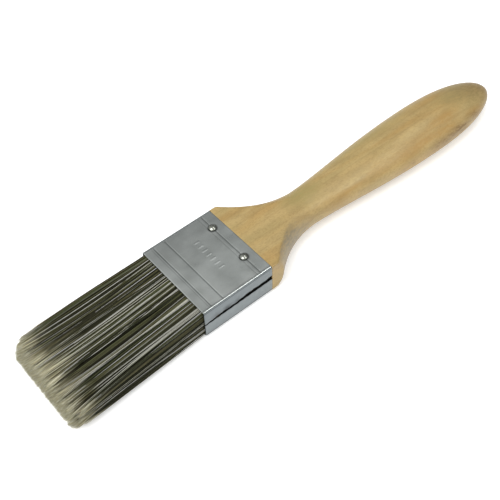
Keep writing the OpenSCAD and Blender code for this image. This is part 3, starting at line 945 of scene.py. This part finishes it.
def layer_strands(name, rng):
    """Paths, radii and clumps of one layer's strands, from butt to tip."""
    low_z, high_z = LAYERS[name]
    half_w = ROOT_W / 2 - STRAND_D / 2
    low, high = (-half_w, low_z + 0.1), (half_w, high_z - 0.1)
    root = jittered_grid(rng, low, high, STRAND_GAP)
    count = len(root)
    fan = (TIP_W / ROOT_W, TIP_T / PACK_T)
    centres = scattered(rng, low, high, CLUMP_SIZE)
    clump = nearest(root, centres)
    clump_count = len(centres)
    lock = nearest(root, scattered(rng, low, high, LOCK_SIZE))
    lock_count = lock.max() + 1
    groups = ((lock, lock_count), (clump, clump_count), (np.arange(count), count))
    tip = root * fan
    pull = rng.uniform(0.0, 0.75, clump_count)[clump][:, None]
    tip += (centres[clump] * fan - tip) * pull * (0.8, 0.5)
    tip += wander(rng, groups, TIP_WANDER)
    tip[:, 0] -= EDGE_PUSH * smooth_step(-root[:, 0], half_w - 3, half_w)
    tip[:, 0] = np.clip(tip[:, 0], -TIP_W / 2, TIP_W / 2)
    tip[:, 1] = np.clip(tip[:, 1], -TIP_T / 2, TIP_T / 2)
    short = tip_reach(tip[:, 0], tip[:, 1])
    short += rng.uniform(0, 0.9, clump_count)[clump] + rng.gamma(1.5, 0.3, count) - TIP_OVER
    stray = np.zeros(count, dtype=bool)
    if name == "front":
        outer = np.argsort(-root[:, 0] - 0.15 * root[:, 1])[: 3 * STRAY_COUNT]
        stray[rng.choice(outer, STRAY_COUNT, replace=False)] = True
        short[stray] = STRAY_SHORT + rng.uniform(0, 2.5, STRAY_COUNT)
    tip_x = TIP_X + short
    # Butts keep clear of the spacer strips, which fill the pack just inside the mouth
    butt = root.copy()
    butt[:, 0] *= BUTT_HALF_W / half_w
    if name == "middle":
        butt[:, 1] *= (MIDDLE_HALF - 0.15) / LAYER_SPLIT
    else:
        share = (np.abs(root[:, 1]) - LAYER_SPLIT) / (PACK_T / 2 - LAYER_SPLIT)
        butt[:, 1] = np.sign(root[:, 1]) * (SPACER_TOP + 0.15 + (BUTT_TOP - SPACER_TOP - 0.15) * share)
    bend = wander(rng, groups, BEND_WANDER)
    steps = np.array([0, 0.07, 0.14, 0.22, 0.30, 0.39, 0.49, 0.63, 0.77, 0.87, 0.94, 1.0])
    path = np.zeros((count, len(steps) + 2, 3))
    path[:, 0, 0] = BUTT_X
    path[:, 0, 1:] = butt
    path[:, 1, 0] = MOUTH_X + SPACER_OUT
    path[:, 1, 1:] = butt
    for k, t in enumerate(steps):
        path[:, k + 2, 0] = MOUTH_X + (tip_x - MOUTH_X) * t
        path[:, k + 2, 1:] = root + (tip - root) * t**1.15 + bend * (math.sin(math.pi * t) * t**0.3)
    half_t = PACK_T / 2 + (TIP_T / 2 - PACK_T / 2) * steps
    half_y = ROOT_W / 2 + (TIP_W / 2 - ROOT_W / 2) * steps
    path[:, 2:, 2] = np.clip(path[:, 2:, 2], -half_t, half_t)
    path[:, 2:, 1] = np.clip(path[:, 2:, 1], -half_y, half_y) + TIP_LEAN * steps**LEAN_CURVE
    path[stray, 2:, 1] += rng.uniform(0.3, 1.0, (stray.sum(), 1)) * steps**6
    taper = np.array([1, 1, 1, 1, 1, 1, 1, 1, 0.97, 0.93, 0.88, 0.80, 0.60, 0.22])
    radius = STRAND_D / 2 * rng.uniform(0.8, 1.12, count)[:, None] * taper
    return {
        "path": path,
        "radius": radius,
        "groups": groups,
        "depth": np.minimum(PACK_T / 2 - np.abs(root[:, 1]), ROOT_W / 2 - np.abs(root[:, 0])),
        "stray": stray,
    }


DARK_TONE, OLIVE_TONE, SILVER_TONE, STRAY_TONE = 0.05, 0.42, 0.92, 0.8
# Strands grow slightly lighter from the -Y side to the +Y side, whose last rows are dark again
ACROSS_TONE = 0.14
EDGE_TONE = 0.5


def picked_tones(rng, count):
    """Random tones: two in five dark, about a third olive and the rest silver."""
    kind = rng.random(count)
    tone = np.where(kind < 0.40, DARK_TONE, np.where(kind < 0.72, OLIVE_TONE, SILVER_TONE))
    return tone + rng.normal(0, 0.10, count)


def strand_values(rng, layer):
    """Tone, tint and paleness for each ring of each strand."""
    path = layer["path"]
    count = len(path)
    (lock, lock_count), (clump, clump_count), _ = layer["groups"]
    shared = rng.random(count) < 0.3
    tone = np.where(shared, picked_tones(rng, clump_count)[clump], picked_tones(rng, count))
    # Painted shade: strands deeper in the pack are darker, and less pale at the tip
    depth_shade = smooth_step(layer["depth"], 0.35, 1.1)
    tone *= 1 - 0.8 * depth_shade
    across = path[:, 0, 1] / BUTT_HALF_W
    tone *= 1 + ACROSS_TONE * across
    tone *= 1 - EDGE_TONE * smooth_step(across, 0.84, 0.92)
    tint = np.clip(0.5 * rng.random(clump_count)[clump] + 0.5 * rng.random(count), 0, 1)
    from_tip = path[:, :, 0] - path[:, -1:, 0]
    start = PALE_LEN * (0.35 + 0.65 * rng.random(clump_count)[clump] + 0.35 * rng.random(count))
    start *= 1 + 0.45 * bell(path[:, -1, 1], 8)
    tuft = smooth_step(rng.random(lock_count)[lock] + 0.35 * rng.random(clump_count)[clump], 0.15, 0.75)
    strength = np.clip(0.1 + 0.75 * tuft + 0.4 * (rng.random(count) - 0.4), 0.05, 1)
    strength *= 1 - 0.5 * depth_shade
    long_pale = (1 - smooth_step(from_tip, 0.1 * start[:, None], start[:, None])) * strength[:, None]
    end = PALE_END * (0.25 + 0.55 * rng.random(clump_count)[clump] + 0.35 * rng.random(count))
    end_pale = end[:, None] * (1 - smooth_step(from_tip, 0.5, PALE_END_LEN))
    pale = np.maximum(long_pale, end_pale)
    rings = path.shape[1]
    tone = np.repeat(tone[:, None], rings, axis=1)
    tint = np.repeat(tint[:, None], rings, axis=1)
    # Painted shade in the openings between the tufts: darker, browner and less pale strands
    for y, out, reach_y, reach_x, share in TIP_GAPS:
        away = np.hypot((path[:, :, 1] - y) / reach_y, (from_tip - out) / reach_x)
        gap = share * (1 - smooth_step(away, 0.2, 1.0))
        pale *= 1 - gap
        tone *= 1 - 0.7 * gap
        tint = np.maximum(tint, gap)
    pale[layer["stray"]] *= 0.2
    near_tip = layer["stray"][:, None] & (from_tip < PALE_LEN)
    tone[near_tip] = STRAY_TONE
    layer["tip_pale"] = np.maximum(strength, end)
    return {"tone": np.clip(tone, 0, 1).ravel(), "tint": tint.ravel(), "pale": pale.ravel()}


def strand_mesh(name, path, radius, sides):
    """One closed thin tube for each path. Sections are upright, as strands run along X."""
    count, rings = path.shape[:2]
    turn = 2 * math.pi * (np.arange(sides) + 0.5) / sides
    offset = np.stack([np.zeros(sides), np.cos(turn), np.sin(turn)], -1)
    points = path[:, :, None, :] + radius[:, :, None, None] * offset
    one = tube_faces(rings, sides)
    first = (np.arange(count) * rings * sides)[:, None, None]
    tubes = (one[None] + first).reshape(-1, 4)[:, ::-1]
    caps = np.stack([np.arange(sides), (rings - 1) * sides + np.arange(sides)[::-1]])
    caps = (caps[None] + first).reshape(-1, sides)[:, ::-1]
    points = points.reshape(-1, 3) + (0, 0, MID_Z)
    mesh = mesh_from_arrays(name, points, [tubes, caps])
    lay_out_strands(mesh, count, rings, sides)
    return mesh


def lay_out_strands(mesh, count, rings, sides):
    """A UV map with one upright strip for each strand, so that colours baked on it stay apart."""
    lines = -(-count // UV_COLUMNS)
    k, j = np.meshgrid(np.arange(rings - 1), np.arange(sides), indexing="ij")
    corner_j = np.stack([j, j, j + 1, j + 1], -1).reshape(-1, 4) / sides
    corner_k = np.stack([k, k + 1, k + 1, k], -1).reshape(-1, 4) / (rings - 1)
    strip_u = 0.1 + 0.8 * corner_j[:, ::-1]
    strip_v = 0.04 + 0.92 * corner_k[:, ::-1]
    cell = np.arange(count)
    cell_u, cell_v = (cell % UV_COLUMNS)[:, None, None], (cell // UV_COLUMNS)[:, None, None]
    tube_uv = np.stack([(cell_u + strip_u) / UV_COLUMNS, (cell_v + strip_v) / lines], -1).reshape(-1, 2)
    around = 0.1 + 0.8 * np.arange(sides) / sides
    cap_u = np.stack([around, around])[:, ::-1]
    cap_v = np.stack([np.full(sides, 0.04), np.full(sides, 0.96)])
    cap_uv = np.stack([(cell_u + cap_u) / UV_COLUMNS, (cell_v + cap_v) / lines], -1).reshape(-1, 2)
    layer = mesh.uv_layers.new(name="OFBake")
    layer.data.foreach_set("uv", np.concatenate([tube_uv, cap_uv]).astype(np.float32).ravel())


def make_layer(name, rng, material):
    """One layer of strands, which stands for the fixed and the free CAD solid of that layer."""
    layer = layer_strands(name, rng)
    mesh = strand_mesh(f"{name}_strands", layer["path"], layer["radius"], STRAND_SIDES)
    values = strand_values(rng, layer)
    set_attributes(mesh, **{key: np.repeat(numbers, STRAND_SIDES) for key, numbers in values.items()})
    return new_object(mesh, material), layer


FLAG_SIDES = 3
FLAG_LEN = 5.0
FLAG_R = 0.045
FLAG_SHARE = 0.6
FLAG_CURL = 1.6


def make_flags(name, rng, layer, material):
    """Fine split ends: a few hairs that leave each strand near its tip."""
    path = layer["path"]
    count = len(path)
    picked = np.repeat(np.arange(count), 2)
    picked = picked[rng.random(len(picked)) < FLAG_SHARE]
    n = len(picked)
    tip, before = path[picked, -1], path[picked, -2]
    way = (before - tip) / np.linalg.norm(before - tip, axis=1)[:, None]
    length = FLAG_LEN * rng.uniform(0.5, 1.0, n)
    start = tip + way * length[:, None]
    spread = [rng.uniform(-0.5, 0.45, n), rng.normal(0, 0.42, n), rng.normal(0, 0.26, n)]
    spread = np.stack(spread, -1)
    steps = np.array([0, 0.35, 0.7, 1.0])
    along = steps[None, :, None]
    hairs = start[:, None] + (tip - start)[:, None] * along + spread[:, None] * along**FLAG_CURL
    hairs[:, :, 0] = np.maximum(hairs[:, :, 0], TIP_X - TIP_OVER)
    hairs[:, :, 1] = np.clip(hairs[:, :, 1], -TIP_W / 2 + TIP_LEAN, TIP_W / 2)
    radius = FLAG_R * rng.uniform(0.8, 1.3, n)[:, None] * np.array([1, 1, 0.8, 0.3])
    mesh = strand_mesh(f"{name}_flags", hairs, radius, FLAG_SIDES)
    hair_points = hairs.shape[1] * FLAG_SIDES
    tone = rng.uniform(0.4, 1.0, n)
    tint = rng.uniform(0.0, 0.7, n)
    pale = np.clip(layer["tip_pale"][picked] * rng.uniform(0.5, 1.1, n), 0, 1)
    tone, tint, pale = (np.repeat(numbers, hair_points) for numbers in (tone, tint, pale))
    set_attributes(mesh, tone=tone, tint=tint, pale=pale)
    return new_object(mesh, material)


# --- scene


def hand_over(piece, slot, *nodes):
    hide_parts(*nodes)


handle = make_handle()
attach(handle, "brush")
hand_over(handle, "lacquered_wood", "handle")

ferrule = make_ferrule()
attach(ferrule, "brush")
hand_over(ferrule, "ferrule_steel", "ferrule")

pins = make_pins()
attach(pins, "brush")
hand_over(pins, "pin_steel", "ferrule_pins")

rng = np.random.default_rng(12)
strand_look = filament_material("drawn_filament", (0.035, 0.035, 0.020))
for layer_name in LAYERS:
    strands, layer = make_layer(layer_name, rng, strand_look)
    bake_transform(strands)
    hand_over(strands, "filament", f"{layer_name}_filament_root", f"{layer_name}_filament")
    flags = make_flags(layer_name, rng, layer, strand_look)
    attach(flags, "bristles")


def refinish(node, material):
    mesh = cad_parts[node].data
    mesh.materials.clear()
    mesh.materials.append(material)


refinish("resin_plug", resin_material())
raw_wood = wood_material(
    "sawn_spacer",
    pale=(0.48, 0.36, 0.20),
    amber=(0.42, 0.29, 0.14),
    olive=(0.38, 0.29, 0.15),
    dark=(0.22, 0.14, 0.06),
    lacquer=0.0,
)
refinish("front_spacer", raw_wood)
refinish("back_spacer", raw_wood)


# --- floor, light, camera


FLOOR_HALF = 6000
FLOOR_GLOW = 0.3
DIM_DIRECTION = Vector((0.80, 0.35, 0.5))


def make_floor():
    half = FLOOR_HALF * MM
    mesh = bpy.data.meshes.new("floor")
    corners = [(-half, -half, 0), (half, -half, 0), (half, half, 0), (-half, half, 0)]
    mesh.from_pydata(corners, [], [(0, 1, 2, 3)])
    tree = material_tree("pale_floor")
    tree.shine(Base_Color=(0.9, 0.9, 0.9), Roughness=0.9, Specular_IOR_Level=0.0)
    tree.shine(Emission_Color=(1, 1, 1), Emission_Strength=FLOOR_GLOW)
    floor = new_object(mesh, tree.owner)


def make_world():
    """Soft light from all round: brighter overhead, dimmer low down and behind, pale to the camera."""
    world = bpy.data.worlds.new("studio")
    bpy.context.scene.world = world
    tree = Tree(world, "Background")
    way = tree.add("TexCoord").outputs["Generated"]
    sky = tree.add("ValToRGB")
    low, high = sky.color_ramp.elements
    low.color = (0.30, 0.31, 0.33, 1)
    high.color = (0.98, 0.99, 0.98, 1)
    high.position = 0.75
    tree.fill(sky, Fac=tree.axis(way, "Z"))
    behind = tree.add("VectorMath", operation="DOT_PRODUCT")
    behind.inputs[1].default_value = DIM_DIRECTION.normalized()
    tree.feed(behind.inputs[0], way)
    dimmed = tree.add("VectorMath", operation="SCALE")
    share_lit = tree.spread(behind.outputs["Value"], 0.2, 1.0, 1.0, 0.4)
    tree.fill(dimmed, Vector=sky.outputs[0], Scale=share_lit)
    to_camera = tree.add("LightPath").outputs["Is Camera Ray"]
    tree.shine(Color=tree.mix(to_camera, dimmed.outputs[0], (1, 1, 1)), Strength=1.0)


def make_softbox(name, direction, width_degrees, strength):
    """Soft light from a wide patch of sky in one direction, even over the whole floor."""
    data = bpy.data.lights.new(name, "SUN")
    data.angle = math.radians(width_degrees)
    data.energy = strength
    new_object(data).rotation_euler = Vector(direction).to_track_quat("Z", "Y").to_euler()


CAMERA_AZIMUTH = -37.94
CAMERA_ELEVATION = 50.94
CAMERA_ROLL = -2.73
CAMERA_LENS = 65.0
CAMERA_FROM_MOUTH = (-104.27, -182.92, 281.54)


def make_camera():
    a, e, r = (math.radians(v) for v in (CAMERA_AZIMUTH, CAMERA_ELEVATION, CAMERA_ROLL))
    back = Vector((math.sin(a) * math.cos(e), -math.cos(a) * math.cos(e), math.sin(e)))
    level = Vector((math.cos(a), math.sin(a), 0))
    up = back.cross(level)
    right = level * math.cos(r) + up * math.sin(r)
    up = back.cross(right)
    data = bpy.data.cameras.new("camera")
    data.lens = CAMERA_LENS
    data.sensor_width = 36
    data.clip_start = 0.01
    camera = new_object(data)
    turn = Matrix((right, up, back)).transposed()
    place = Vector((MOUTH_X, 0, MID_Z)) + Vector(CAMERA_FROM_MOUTH)
    camera.matrix_world = Matrix.Translation(place * MM) @ turn.to_4x4()
    bpy.context.scene.camera = camera


make_floor()
make_world()
make_softbox("key", (-0.50, 0.00, 0.87), 40, 1.75)
make_softbox("band", (0.39, 0.08, 0.92), 20, 0.30)
make_softbox("edge", (0.39, -0.45, 0.80), 16, 0.40)
make_camera()
bpy.context.scene.view_settings.view_transform = "Standard"
